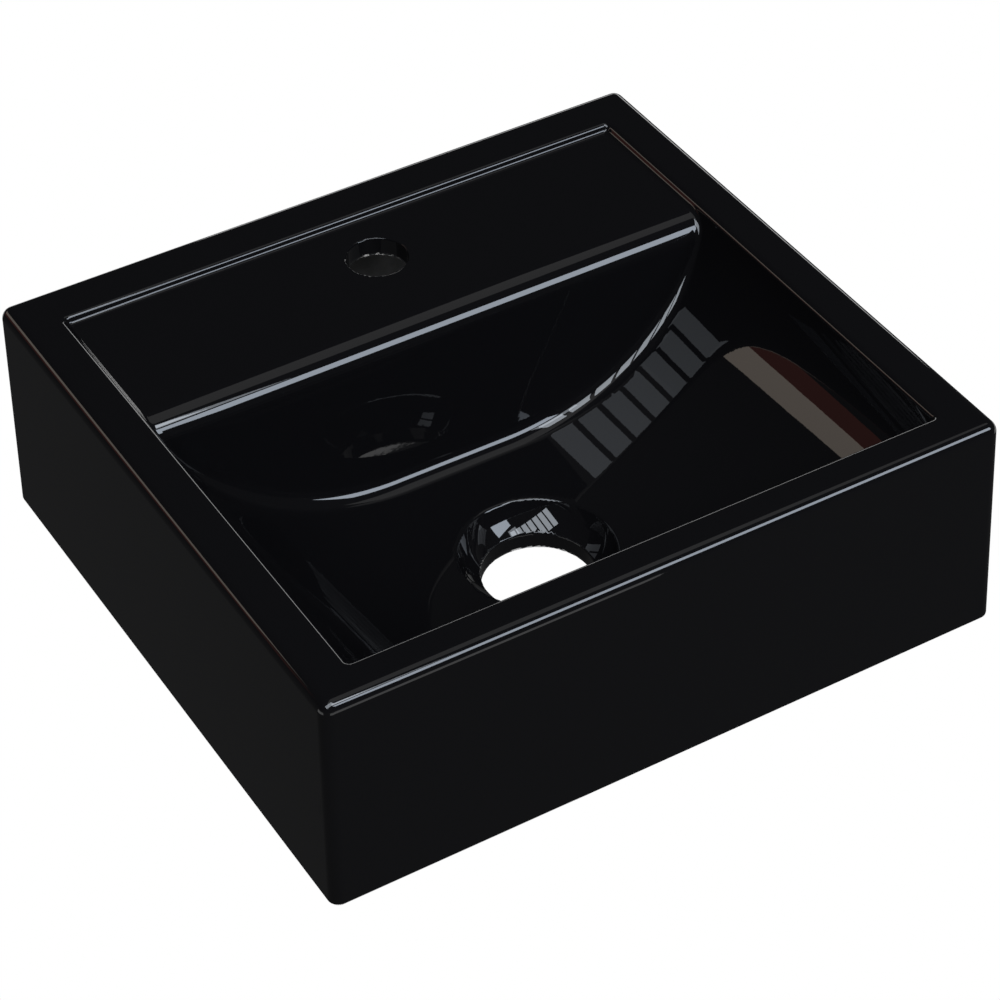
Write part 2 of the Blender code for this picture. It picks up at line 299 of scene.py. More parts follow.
class Value:
    """A number socket that takes part in Python expressions; each operator adds a Math node."""

    def __init__(self, nodes: "NodeMaker", socket: bpy.types.NodeSocket) -> None:
        """Wraps an output socket of one node tree."""
        self.nodes = nodes
        self.socket = socket

    def math(self, operation: str, *terms: "Value | float") -> "Value":
        """Adds one Math node.

        Args:
            operation: The node's operation.
            terms: What goes into its sockets, in order.

        Returns:
            Its result.
        """
        node = self.nodes.add("ShaderNodeMath", {"operation": operation}, dict(enumerate(terms)))
        return Value(self.nodes, node.outputs[0])

    def __add__(self, other: "Value | float") -> "Value":
        """The sum."""
        return self.math("ADD", self, other)

    __radd__ = __add__

    def __sub__(self, other: "Value | float") -> "Value":
        """The difference."""
        return self.math("SUBTRACT", self, other)

    def __rsub__(self, other: float) -> "Value":
        """The difference, from a plain number."""
        return self.math("SUBTRACT", other, self)

    def __mul__(self, other: "Value | float") -> "Value":
        """The product."""
        return self.math("MULTIPLY", self, other)

    __rmul__ = __mul__

    def __truediv__(self, other: "Value | float") -> "Value":
        """The quotient."""
        return self.math("DIVIDE", self, other)

    def least(self, other: "Value | float") -> "Value":
        """The smaller of the two."""
        return self.math("MINIMUM", self, other)

    def most(self, other: "Value | float") -> "Value":
        """The larger of the two."""
        return self.math("MAXIMUM", self, other)

    def tent(self) -> "Value":
        """0 at each whole number, rising straight to 1 halfway to the next and falling back."""
        part = self.math("FRACT", self)
        return 1 - self.math("ABSOLUTE", part * 2 - 1)

    def tent_up(self) -> "Value":
        """0 at 0, rising straight to 1 at 1, and falling back to 0 at 2."""
        return 1 - self.math("ABSOLUTE", self - 1)

    def ramp(self, low: "Value | float", high: "Value | float") -> "Value":
        """Rises smoothly from 0 at low to 1 at high."""
        node = self.nodes.add(
            "ShaderNodeMapRange", {"interpolation_type": "SMOOTHSTEP"}, {0: self, 1: low, 2: high}
        )
        return Value(self.nodes, node.outputs[0])


class NodeMaker:
    """Adds nodes to one tree."""

    def __init__(self, tree: bpy.types.NodeTree) -> None:
        """Takes the tree to fill."""
        self.tree = tree

    def add(self, kind: str, settings: dict | None = None, inputs: dict | None = None) -> bpy.types.Node:
        """Adds a node, sets it up, and fills its sockets.

        Args:
            kind: The node's type.
            settings: Its properties, set before its sockets.
            inputs: A value or a link for each socket, by the socket's name or number.

        Returns:
            The node.
        """
        node = self.tree.nodes.new(kind)
        for key, value in (settings or {}).items():
            setattr(node, key, value)
        for key, value in (inputs or {}).items():
            self.feed(node.inputs[key], value)
        return node

    def feed(self, socket: bpy.types.NodeSocket, value: object) -> None:
        """Links a socket or sets its value.

        Args:
            socket: The input to fill.
            value: A wrapped value, an output socket, or plain numbers.
        """
        if isinstance(value, Value):
            value = value.socket
        if isinstance(value, bpy.types.NodeSocket):
            self.tree.links.new(value, socket)
        else:
            socket.default_value = value


class FinishNodes(NodeMaker):
    """Builds the nodes of one material."""

    def __init__(self, name: str) -> None:
        """Starts a material that holds a Principled shader and its output.

        Args:
            name: The material's name.
        """
        self.material = bpy.data.materials.new(name)
        self.material.use_nodes = True
        super().__init__(self.material.node_tree)
        self.shader = self.tree.nodes["Principled BSDF"]

    def place(self) -> bpy.types.NodeSocket:
        """Object coordinates, in metres."""
        return self.add("ShaderNodeTexCoord").outputs["Object"]

    def attribute(self, name: str) -> Value:
        """A number stored on the mesh."""
        return Value(self, self.add("ShaderNodeAttribute", {"attribute_name": name}).outputs["Fac"])

    def noise(self, scale: float, detail: float = 2.0, roughness: float = 0.5) -> Value:
        """Noise in object space.

        Args:
            scale: Cells per metre.
            detail: Number of finer layers.
            roughness: Strength of the finer layers.

        Returns:
            The noise's value, about 0.5.
        """
        inputs = {"Vector": self.place(), "Scale": scale, "Detail": detail, "Roughness": roughness}
        return Value(self, self.add("ShaderNodeTexNoise", None, inputs).outputs["Fac"])

    def mix(self, share: Value, first: object, second: object) -> bpy.types.NodeSocket:
        """A colour between two.

        Args:
            share: 0 for the first colour and 1 for the second.
            first: A colour or a link to one.
            second: A colour or a link to one.

        Returns:
            The mixed colour's socket.
        """
        node = self.add("ShaderNodeMix", {"data_type": "RGBA"}, {0: share, 6: first, 7: second})
        return node.outputs[2]

    def bump(self, height: Value, distance: float) -> None:
        """Feeds the shader's normal from a height.

        Args:
            height: The height, in units of the distance.
            distance: How far one unit of height stands out, in metres.
        """
        inputs = {"Height": height, "Distance": distance, "Strength": 1.0}
        self.feed(self.shader.inputs["Normal"], self.add("ShaderNodeBump", None, inputs).outputs[0])

    def dress(self, **sockets: object) -> bpy.types.Material:
        """Fills the Principled shader's sockets.

        Args:
            sockets: A value or a link for each socket, named with _ for a space.

        Returns:
            The material.
        """
        for name, value in sockets.items():
            self.feed(self.shader.inputs[name.replace("_", " ")], value)
        return self.material


class ShapeNodes(NodeMaker):
    """Builds a Geometry Nodes tree whose sizes are named inputs, and makes plain meshes with it."""

    def __init__(self, name: str, sizes: dict[str, float]) -> None:
        """Starts a tree with one input for each size.

        Args:
            name: The tree's name.
            sizes: The inputs' names and values.
        """
        super().__init__(bpy.data.node_groups.new(name, "GeometryNodeTree"))
        self.sizes = sizes
        self.sockets = {
            key: self.tree.interface.new_socket(name=key, in_out="INPUT", socket_type="NodeSocketFloat")
            for key in sizes
        }
        self.tree.interface.new_socket(name="Geometry", in_out="OUTPUT", socket_type="NodeSocketGeometry")
        self.given = self.add("NodeGroupInput")
        position = self.add("GeometryNodeInputPosition").outputs[0]
        self.place = self.add("ShaderNodeSeparateXYZ", None, {0: position})

    def size(self, name: str) -> Value:
        """One of the tree's inputs."""
        return Value(self, self.given.outputs[name])

    def along(self, axis: int) -> Value:
        """The position along one axis."""
        return Value(self, self.place.outputs[axis])

    def vector(self, x: Value, y: Value, z: Value) -> bpy.types.NodeSocket:
        """A vector from its three parts."""
        return self.add("ShaderNodeCombineXYZ", None, {0: x, 1: y, 2: z}).outputs[0]

    def made(self, shape: bpy.types.NodeSocket, finish: bpy.types.Material) -> bpy.types.Mesh:
        """Ends the tree at a geometry and evaluates it.

        Args:
            shape: The geometry.
            finish: The material that the tree sets.

        Returns:
            The result as a plain mesh.
        """
        real = self.add("GeometryNodeRealizeInstances", None, {0: shape})
        dressed = self.add(
            "GeometryNodeSetMaterial", None, {"Geometry": real.outputs[0], "Material": finish}
        )
        self.feed(self.add("NodeGroupOutput").inputs[0], dressed.outputs[0])
        holder = new_object(self.tree.name, bpy.data.meshes.new(self.tree.name))
        modifier = holder.modifiers.new("shape", "NODES")
        modifier.node_group = self.tree
        for key, value in self.sizes.items():
            modifier[self.sockets[key].identifier] = value
        graph = bpy.context.evaluated_depsgraph_get()
        mesh = bpy.data.meshes.new_from_object(holder.evaluated_get(graph))
        holder.modifiers.remove(modifier)
        bpy.data.objects.remove(holder)
        return mesh


def shade(level: float, tint: tuple[float, float, float] = (1, 1, 1)) -> tuple[float, ...]:
    """An opaque colour of the given level and tint."""
    return (*(level * t for t in tint), 1.0)


@dataclass(frozen=True)
class BlackGlaze:
    """Fired black glaze, thin and dull in the underside, and ground away on the foot."""

    level: float = 0.0048
    dull_level: float = 0.022
    clay: tuple[float, float, float] = (0.46, 0.43, 0.38)
    polish: float = 0.014
    brush_scale: float = 55
    speckle_scale: float = 900
    wave_scale: float = 38
    peel_scale: float = 420
    relief: float = 0.05 * MM
    ground_rough: float = 0.82
    refraction: float = 1.52

    def material(self) -> bpy.types.Material:
        """Builds the material from the mesh's underside and foot attributes.

        Returns:
            The material.
        """
        nodes = FinishNodes("black_glaze")
        under = nodes.attribute("underside")
        foot = nodes.attribute("foot")
        brushed = nodes.noise(self.brush_scale, 4, 0.6)
        speckle = nodes.noise(self.speckle_scale, 2, 0.7).ramp(0.62, 0.72)
        dull = nodes.mix(brushed.ramp(0.35, 0.7), shade(self.dull_level), shade(self.dull_level * 2.6))
        glazed = nodes.mix(under, shade(self.level, (1.0, 0.95, 1.06)), dull)
        clay = nodes.mix(speckle, (*self.clay, 1), (*(c * 0.55 for c in self.clay), 1))
        wave = nodes.noise(self.wave_scale, 1, 0.4)
        rough = self.polish + wave * 0.008 + under * (brushed * 0.25 + 0.22)
        peel = nodes.noise(self.peel_scale, 2, 0.5)
        nodes.bump(wave * 0.6 + peel * 0.05 + under * brushed * 2.0, self.relief)
        return nodes.dress(
            Base_Color=nodes.mix(foot, glazed, clay),
            Roughness=rough * (1 - foot) + foot * self.ground_rough,
            IOR=self.refraction,
        )


@dataclass(frozen=True)
class ZincSteel:
    """Bright zinc plate with a faint mottle and fine turning marks."""

    level: float = 0.60
    rough: float = 0.24
    mottle_scale: float = 260
    grain_scale: float = 2400
    relief: float = 0.01 * MM

    def material(self) -> bpy.types.Material:
        """Builds the material.

        Returns:
            The material.
        """
        nodes = FinishNodes("zinc_plated_steel")
        mottle = nodes.noise(self.mottle_scale, 4, 0.6)
        tarnish = mottle.ramp(0.52, 0.72)
        bright, dim = shade(self.level, (1, 1, 0.97)), shade(self.level * 0.72, (1, 0.97, 0.88))
        colour = nodes.mix(tarnish, bright, dim)
        nodes.bump(nodes.noise(self.grain_scale, 2, 0.6), self.relief)
        return nodes.dress(Base_Color=colour, Metallic=1.0, Roughness=mottle * 0.2 + self.rough)


class NylonColour(Enum):
    """The two nylons: the collars' and the plugs'."""

    WHITE = ("white_nylon", (0.78, 0.77, 0.72))
    GREY = ("grey_nylon", (0.24, 0.25, 0.27))


@dataclass(frozen=True)
class Nylon:
    """Moulded nylon with a fine texture."""

    colour: NylonColour
    rough: float = 0.42
    cloud_scale: float = 180
    grain_scale: float = 1500
    relief: float = 0.03 * MM

    def material(self) -> bpy.types.Material:
        """Builds the material.

        Returns:
            The material.
        """
        name, tint = self.colour.value
        nodes = FinishNodes(name)
        cloud = nodes.noise(self.cloud_scale, 3, 0.5)
        base = nodes.mix(cloud, shade(0.92, tint), shade(1.06, tint))
        nodes.bump(nodes.noise(self.grain_scale, 3, 0.6), self.relief)
        return nodes.dress(
            Base_Color=base,
            Roughness=cloud * 0.15 + self.rough,
            Subsurface_Weight=0.08,
            Subsurface_Scale=2 * MM,
        )


# ---------------------------------------------------------------------------------------------
# Pieces
# ---------------------------------------------------------------------------------------------


def hand_over(piece: bpy.types.Object, node: str, slot: str, finish: bpy.types.Material) -> None:
    """Dresses a finished piece, hides the CAD node that it stands for, and hangs it on the body.

    Args:
        piece: The finished piece, in place.
        node: The CAD node that it replaces.
        slot: The record's material slot; not used.
        finish: Its material.
    """
    piece.data.materials.clear()
    piece.data.materials.append(finish)
    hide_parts(node)
    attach(piece, BODY)
    LOG.info("%s: %d faces", piece.name, len(piece.data.polygons))


@dataclass
class Basin:
    """The one-piece ceramic: rim, sunk tap ledge, trough bowl, skirt and waste outlet."""

    low: Vector
    high: Vector
    draft: float = math.radians(1.5)
    edge_round: float = 6.5 * MM
    foot_round: float = 2.0 * MM
    rim_side: float = 25.5 * MM
    rim_front: float = 22.5 * MM
    rim_back: float = 30.0 * MM
    lip_round: float = 3.0 * MM
    ledge_drop: float = 4.5 * MM
    ledge_depth: float = 102.0 * MM
    ledge_fillet: float = 2.6 * MM
    nose_round: float = 13.0 * MM
    bowl_depth: float = 95.7 * MM
    bowl_fillet: float = 9.0 * MM
    floor_half_flat: float = 35.0 * MM
    trough_rise: float = 118.0 * MM
    front_slope: float = math.radians(8)
    back_slope: float = math.radians(10)
    tap_radius: float = 17.5 * MM
    tap_from_wall: float = 66.0 * MM
    waste_from_wall: float = 235.0 * MM
    waste_radius: float = 31.0 * MM
    dish_radius: float = 43.7 * MM
    dish_depth: float = 15.0 * MM
    dish_lip: float = 0.9 * MM
    outlet_length: float = 11.0 * MM
    outlet_wall: float = 13.0 * MM
    shell: float = 12.0 * MM
    skirt: float = 14.0 * MM
    wall_face: float = 16.0 * MM
    inner_round: float = 6.0 * MM
    hole_round: float = 0.7 * MM
    fixing_spacing: float = 200.0 * MM
    fixing_radius: float = 8.0 * MM
    rim_z: float = field(init=False)
    foot_z: float = field(init=False)
    half_width: float = field(init=False)
    front_y: float = field(init=False)
    ledge_z: float = field(init=False)
    floor_z: float = field(init=False)
    roof_z: float = field(init=False)
    outlet_z: float = field(init=False)
    hollow_half: float = field(init=False)
    hollow_front: float = field(init=False)
    nose_y: float = field(init=False)

    def __post_init__(self) -> None:
        """Works out the rim's outline from the CAD node's box, whose foot is wider by the draft."""
        self.rim_z, self.foot_z = self.high.z, self.low.z
        spread = (self.rim_z - self.foot_z) * math.tan(self.draft)
        self.half_width = self.high.x - spread
        self.front_y = self.low.y + spread
        self.ledge_z = self.rim_z - self.ledge_drop
        self.floor_z = self.rim_z - self.bowl_depth
        self.roof_z = self.ledge_z - self.shell
        self.outlet_z = self.floor_z - self.dish_depth - self.outlet_length
        self.hollow_half = self.half_width - self.rim_side
        self.hollow_front = self.front_y + self.rim_front
        self.nose_y = -self.rim_back - self.ledge_depth

    def drafted(self, p: Array, inset: float, back: float, radius: float) -> Array:
        """Distance from the drafted sides, with rounded upright edges.

        Args:
            p: Points, in metres.
            inset: How far the sides are moved inwards.
            back: The back face's place along Y.
            radius: Radius of the upright edges.

        Returns:
            Signed distances, negative inside.
        """
        x, y, z = np.abs(p[..., 0]), p[..., 1], p[..., 2]
        lean, upright = math.sin(self.draft) * (z - self.rim_z), math.cos(self.draft)
        side = (x - self.half_width) * upright + lean + inset
        front = (self.front_y - y) * upright + lean + inset
        return round_meet(side, np.maximum(front, y - back), radius)

    def outside(self, p: Array) -> Array:
        """Distance from the basin's outer surface, as if it were solid."""
        body = round_meet(self.drafted(p, 0, 0, self.edge_round), p[..., 2] - self.rim_z, self.edge_round)
        return round_meet(body, self.foot_z - p[..., 2], self.foot_round)

    def trough(self, p: Array) -> Array:
        """Distance from the bowl's cross-section, which runs from front to back.

        Args:
            p: Points, in metres.

        Returns:
            Signed distances, negative inside.
        """
        centre = self.floor_z + self.trough_rise
        at_rim = math.sqrt(1 - ((centre - self.rim_z) / self.trough_rise) ** 2)
        reach = (self.hollow_half - self.floor_half_flat) / at_rim
        across = np.abs(p[..., 0]) - self.floor_half_flat
        return quarter_ellipse(across, centre - p[..., 2], reach, self.trough_rise)

    def front_wall(self, p: Array) -> Array:
        """Distance from the bowl's sloping front wall."""
        foot = self.hollow_front + (self.rim_z - p[..., 2]) * math.tan(self.front_slope)
        return (foot - p[..., 1]) * math.cos(self.front_slope)

    def back_wall(self, p: Array) -> Array:
        """Distance from the bowl's sloping back wall, under the ledge."""
        foot = self.nose_y - (self.ledge_z - p[..., 2]) * math.tan(self.back_slope)
        return (p[..., 1] - foot) * math.cos(self.back_slope)

    def hollow(self, p: Array) -> Array:
        """Distance from the space that the rim encloses: the bowl and the step above the ledge.

        Args:
            p: Points, in metres.

        Returns:
            Signed distances, negative inside.
        """
        z = p[..., 2]
        back = round_join(self.back_wall(p), self.ledge_z - z, self.nose_round)
        deep = np.clip((self.ledge_z - self.nose_round / 2 - z) / (0.6 * self.bowl_depth), 0, 1)
        fillet = self.ledge_fillet + (self.bowl_fillet - self.ledge_fillet) * deep * deep * (3 - 2 * deep)
        space = round_meet(self.trough(p), back, fillet)
        space = round_meet(space, self.front_wall(p), fillet)
        return round_meet(space, p[..., 1] + self.rim_back, self.ledge_fillet)

    def round_hole(self, p: Array, y: float, radius: Array | float) -> Array:
        """Distance from an upright round hole on the middle plane."""
        return np.hypot(p[..., 0], p[..., 1] - y) - radius

    def outlet(self, p: Array) -> Array:
        """Distance from the waste's round dish, part of a sphere, and the hole below it.

        Args:
            p: Points, in metres.

        Returns:
            Signed distances, negative inside.
        """
        rise = (self.dish_radius**2 - self.waste_radius**2 - self.dish_depth**2) / (2 * self.dish_depth)
        out = np.hypot(p[..., 0], p[..., 1] + self.waste_from_wall)
        dish = np.hypot(out, p[..., 2] - self.floor_z - rise) - math.hypot(self.dish_radius, rise)
        return round_join(dish, out - self.waste_radius, self.hole_round)

    def underside(self, p: Array) -> Array:
        """Distance from the open underside: inside the skirt, less the bowl's wall and the outlet boss.

        Args:
            p: Points, in metres.

        Returns:
            Signed distances, negative inside.
        """
        z = p[..., 2]
        sides = self.drafted(p, self.skirt, -self.wall_face, 2 * self.inner_round)
        space = round_meet(sides, z - self.roof_z, self.inner_round)
        jacket = round_meet(self.trough(p) - self.shell, self.back_wall(p) - self.shell, self.shell)
        jacket = round_meet(jacket, self.front_wall(p) - self.shell, self.shell)
        out = np.hypot(p[..., 0], p[..., 1] + self.waste_from_wall)
        rise = (self.dish_radius - self.waste_radius) / (self.floor_z - self.outlet_z)
        cone = out - self.waste_radius - self.outlet_wall - (z - self.outlet_z) * rise
        boss = round_meet(cone * math.cos(math.atan(rise)), self.outlet_z - z, 2 * MM)
        return round_meet(space, -round_join(jacket, boss, self.inner_round), self.inner_round)

    def solid(self, p: Array) -> Array:
        """Distance from the finished ceramic.

        Args:
            p: Points, in metres.

        Returns:
            Signed distances, negative inside.
        """
        hollow = round_join(self.hollow(p), self.outlet(p), self.dish_lip)
        body = round_meet(self.outside(p), -hollow, self.lip_round)
        body = round_meet(body, -self.underside(p), self.foot_round)
        tap = self.round_hole(p, -self.tap_from_wall, self.tap_radius)
        tap = np.maximum(tap, self.foot_z + self.edge_round - p[..., 2])
        body = round_meet(body, -tap, self.hole_round)
        across = np.abs(p[..., 0]) - self.fixing_spacing / 2
        fixing = np.hypot(across, p[..., 2]) - self.fixing_radius
        fixing = np.maximum(fixing, -self.wall_face - 2 * self.inner_round - p[..., 1])
        return round_meet(body, -fixing, 0.6 * self.hole_round)

    def planes(self) -> list[Array]:
        """Lays the meshing grid, fine at lips, edges and round holes and coarse on the flats.

        Each stop gives the place that a stretch of planes runs to and the step between them.

        Returns:
            The planes along X, Y and Z.
        """
        half = GridLines(
            (
                (46 * MM, 2.0 * MM),
                (90 * MM, 4.4 * MM),
                (110 * MM, 2.0 * MM),
                (self.hollow_half - 6 * MM, 4.2 * MM),
                (self.hollow_half + 5 * MM, 1.0 * MM),
                (self.half_width - 8 * MM, 2.6 * MM),
                (self.high.x + 1 * MM, 1.15 * MM),
            ),
            0.0,
        ).places()
        waste, tap = -self.waste_from_wall, -self.tap_from_wall
        deep = GridLines(
            (
                (self.front_y + 8 * MM, 1.2 * MM),
                (self.hollow_front - 4 * MM, 2.6 * MM),
                (self.hollow_front + 6 * MM, 1.0 * MM),
                (waste - 46 * MM, 4.2 * MM),
                (waste + 46 * MM, 2.0 * MM),
                (self.nose_y - 12 * MM, 4.0 * MM),
                (self.nose_y + 12 * MM, 1.6 * MM),
                (tap - 19 * MM, 4.0 * MM),
                (tap + 19 * MM, 1.9 * MM),
                (-self.rim_back - 4 * MM, 3.5 * MM),
                (-self.rim_back + 4 * MM, 1.0 * MM),
                (-8 * MM, 2.2 * MM),
                (1 * MM, 1.2 * MM),
            ),
            self.low.y - 1 * MM,
        ).places()
        tall = GridLines(
            (
                (self.foot_z + 5 * MM, 0.9 * MM),
                (self.floor_z - 8 * MM, 2.4 * MM),
                (self.floor_z + 8 * MM, 1.5 * MM),
                (-9 * MM, 2.4 * MM),
                (9 * MM, 2.0 * MM),
                (self.roof_z - 6 * MM, 4.0 * MM),
                (self.roof_z + 3 * MM, 2.0 * MM),
                (self.rim_z + 1 * MM, 0.85 * MM),
            ),
            self.foot_z - 1 * MM,
        ).places()
        return [np.concatenate([-half[:0:-1], half]), deep, tall]

    def mesh(self) -> bpy.types.Mesh:
        """Meshes the ceramic and stores where its underside and its ground foot are.

        Returns:
            The mesh, with the two attributes on its points.
        """
        mesh, points, slope = net_mesh("basin_ceramic", self.solid, self.planes())
        near = np.clip(1 - (np.abs(self.underside(points)) - 0.3 * MM) / (1.2 * MM), 0, 1)
        ground = np.clip((-slope[:, 2] - 0.90) / 0.08, 0, 1) * (points[:, 2] < self.foot_z + 1 * MM)
        for name, values in (("underside", near), ("foot", ground)):
            mesh.attributes.new(name, "FLOAT", "POINT").data.foreach_set("value", values.astype(np.float32))
        return mesh

    def build(self, finish: bpy.types.Material) -> None:
        """Makes the ceramic and hands it over."""
        hand_over(new_object("basin_ceramic", self.mesh()), "basin_body", "black_glaze", finish)


@dataclass(frozen=True)
class Stretch:
    """A piece's reach along Y, its outer radius, and where its axis stands in X and Z."""

    low: float
    high: float
    radius: float
    x: float
    z: float

    @classmethod
    def of(cls, node: str) -> "Stretch":
        """Reads it from a CAD node's box."""
        low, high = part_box(node)
        return cls(low.y, high.y, (high.x - low.x) / 2, (low.x + high.x) / 2, (low.z + high.z) / 2)

    @property
    def length(self) -> float:
        """The piece's length along Y."""
        return self.high - self.low

    def out(self, p: Array) -> Array:
        """Distance of each point from the axis."""
        return np.hypot(p[..., 0] - self.x, p[..., 2] - self.z)

    def ends(self, p: Array) -> Array:
        """Distance past the nearer end."""
        return np.abs(p[..., 1] - (self.low + self.high) / 2) - self.length / 2

    def planes(self, across: float, along: float) -> list[Array]:
        """Lays even planes round the piece.

        Args:
            across: Step along X and Z.
            along: Step along Y.

        Returns:
            The planes along X, Y and Z.
        """
        reach = self.radius + across
        lines = []
        for middle, half, step in (
            (self.x, reach, across),
            ((self.low + self.high) / 2, self.length / 2 + along, along),
            (self.z, reach, across),
        ):
            lines.append(GridLines(((middle + half, step),), middle - half).places())
        return lines

    def settled(self, mesh: bpy.types.Mesh) -> bpy.types.Mesh:
        """Moves a mesh that was made round the Y axis, from nothing upwards, to its place.

        Args:
            mesh: The mesh.

        Returns:
            The same mesh, moved and shaded.
        """
        mesh.transform(Matrix.Translation((self.x, self.low, self.z)))
        mesh.shade_smooth()
        mesh.set_sharp_from_angle(angle=SHARP_ANGLE)
        return mesh


@dataclass
class Fixing:
    """One hanger bolt with its wall plug, collar, washer and nut."""

    side: str
    steel: bpy.types.Material
    white: bpy.types.Material
    grey: bpy.types.Material
    bore: float = 5.3 * MM
    fine_pitch: float = 1.5 * MM
    fine_depth: float = 0.85 * MM
    fine_length: float = 34 * MM
    shank_radius: float = 4.5 * MM
    shank_length: float = 7 * MM
    wood_pitch: float = 4.4 * MM
    wood_depth: float = 1.35 * MM
    point: float = 9 * MM
    flange: float = 4.0 * MM
    sleeve_radius: float = 7.7 * MM
    nut_face_radius: float = 8.35 * MM
    rib_pitch: float = 4.6 * MM
    rib_depth: float = 0.55 * MM
    plug_mouth: float = 6 * MM

    def bolt(self) -> bpy.types.Mesh:
        """Makes a rod with a fine thread at the nut's end and a wood thread that runs to a point.

        Returns:
            The mesh, in place.
        """
        at = Stretch.of(f"hanger_bolt_{self.side}")
        tree = ShapeNodes(
            f"hanger_bolt_shape_{self.side}",
            {
                "Length": at.length,
                "Radius": at.radius,
                "Fine Pitch": self.fine_pitch,
                "Fine Depth": self.fine_depth,
                "Fine Length": self.fine_length,
                "Shank Radius": self.shank_radius,
                "Shank End": self.fine_length + self.shank_length,
                "Wood Pitch": self.wood_pitch,
                "Wood Depth": self.wood_depth,
                "Point": self.point,
            },
        )
        length, radius = tree.size("Length"), tree.size("Radius")
        rod = tree.add(
            "GeometryNodeMeshCylinder",
            {"fill_type": "TRIANGLE_FAN"},
            {"Vertices": 32, "Side Segments": 460, "Radius": radius, "Depth": length},
        )
        x, y, z = (tree.along(axis) for axis in range(3))
        run = z + length / 2
        turn = y.math("ARCTAN2", y, x) / math.tau
        fine = radius - (1 - (run / tree.size("Fine Pitch") - turn).tent()) * tree.size("Fine Depth")
        fine = fine.least(run * 0.8 + (radius - tree.size("Fine Depth") * 1.2))
        ridge = ((run / tree.size("Wood Pitch") - turn).tent() * 2.4 - 1.4).most(0)
        wood = radius - (1 - ridge) * tree.size("Wood Depth")
        fine_end, shank_end = tree.size("Fine Length"), tree.size("Shank End")
        shank = tree.size("Shank Radius")
        leave = run.ramp(fine_end - 0.6 * MM, fine_end + 0.6 * MM)
        enter = run.ramp(shank_end - 0.4 * MM, shank_end + 2.5 * MM)
        shape = fine * (1 - leave) + shank * leave
        shape = shape * (1 - enter) + wood * enter
        taper = ((length - run) / tree.size("Point")).least(1).most(0.02)
        scale = shape * taper / radius
        placed = tree.add(
            "GeometryNodeSetPosition",
            None,
            {"Geometry": rod.outputs["Mesh"], "Position": tree.vector(x * scale, run, y * scale * -1)},
        )
        return at.settled(tree.made(placed.outputs[0], self.steel))

    def plug(self) -> bpy.types.Mesh:
        """Makes a tube with a smooth mouth and barbed ribs, thinning towards its far end.

        Returns:
            The mesh, in place.
        """
        at = Stretch.of(f"wall_plug_{self.side}")
        tree = ShapeNodes(
            f"wall_plug_shape_{self.side}",
            {
                "Length": at.length,
                "Radius": at.radius,
                "Bore": self.bore,
                "Rib Pitch": self.rib_pitch,
                "Rib Depth": self.rib_depth,
                "Mouth": self.plug_mouth,
            },
        )
        sheet = tree.add(
            "GeometryNodeMeshGrid", None, {"Size X": 1.0, "Size Y": 1.0, "Vertices X": 41, "Vertices Y": 281}
        )
        length, radius, bore = tree.size("Length"), tree.size("Radius"), tree.size("Bore")
        angle = tree.along(0) * math.tau
        lap = (tree.along(1) + 0.5) * 2
        inner = lap.math("GREATER_THAN", lap, 1.0) * lap.math("LESS_THAN", lap, 1.999)
        run = lap.tent_up() * length
        steps = run / tree.size("Rib Pitch")
        barb = steps.math("FRACT", steps) * run.ramp(tree.size("Mouth"), tree.size("Mouth") + 2 * MM)
        nose = ((length - run) / (4 * MM)).least(1) * 0.12 + 0.88
        outer = (radius - barb * tree.size("Rib Depth")) * nose
        outer = outer.most(bore + 0.25 * MM)
        reach = outer * (1 - inner) + bore * inner
        east, north = angle.math("COSINE", angle) * reach, angle.math("SINE", angle) * reach
        placed = tree.add(
            "GeometryNodeSetPosition",
            None,
            {"Geometry": sheet.outputs["Mesh"], "Position": tree.vector(east, run, north)},
        )
        sewn = tree.add(
            "GeometryNodeMergeByDistance", None, {"Geometry": placed.outputs[0], "Distance": 0.02 * MM}
        )
        outwards = tree.add("GeometryNodeFlipFaces", None, {0: sewn.outputs[0]})
        return at.settled(tree.made(outwards.outputs[0], self.grey))

    def collar(self) -> bpy.types.Mesh:
        """Makes a flanged sleeve that centres the bolt in the ceramic's hole.

        Returns:
            The mesh, in place.
        """
        at = Stretch.of(f"collar_{self.side}")

        def shape(p: Array) -> Array:
            """Distance from the collar.

            Args:
                p: Points, in metres.

            Returns:
                Signed distances, negative inside.
            """
            out = at.out(p)
            flange = round_meet(out - at.radius, p[..., 1] - at.low - self.flange, 0.8 * MM)
            body = round_join(flange, out - self.sleeve_radius, 0.8 * MM)
            body = round_meet(body, at.ends(p), 0.6 * MM)
            return round_meet(body, self.bore - out, 0.4 * MM)

        return net_mesh(f"collar_{self.side}_moulding", shape, at.planes(0.62 * MM, 0.5 * MM))[0]

    def washer(self) -> bpy.types.Mesh:
        """Makes a flat washer with rounded edges.

        Returns:
            The mesh, in place.
        """
        at = Stretch.of(f"washer_{self.side}")

        def shape(p: Array) -> Array:
            """Distance from the washer.

            Args:
                p: Points, in metres.

            Returns:
                Signed distances, negative inside.
            """
            out = at.out(p)
            ring = np.maximum(out - at.radius, self.bore + 0.2 * MM - out)
            return round_meet(ring, at.ends(p), 0.4 * MM)

        return net_mesh(f"washer_{self.side}_stamping", shape, at.planes(0.5 * MM, 0.33 * MM))[0]

    def nut(self) -> bpy.types.Mesh:
        """Makes a hexagon nut with chamfered corners and a countersunk bore.

        Returns:
            The mesh, in place.
        """
        at = Stretch.of(f"hex_nut_{self.side}")
        low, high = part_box(f"hex_nut_{self.side}")
        flat = min(high.x - low.x, high.z - low.z) / 2
        upright = high.x - low.x < high.z - low.z

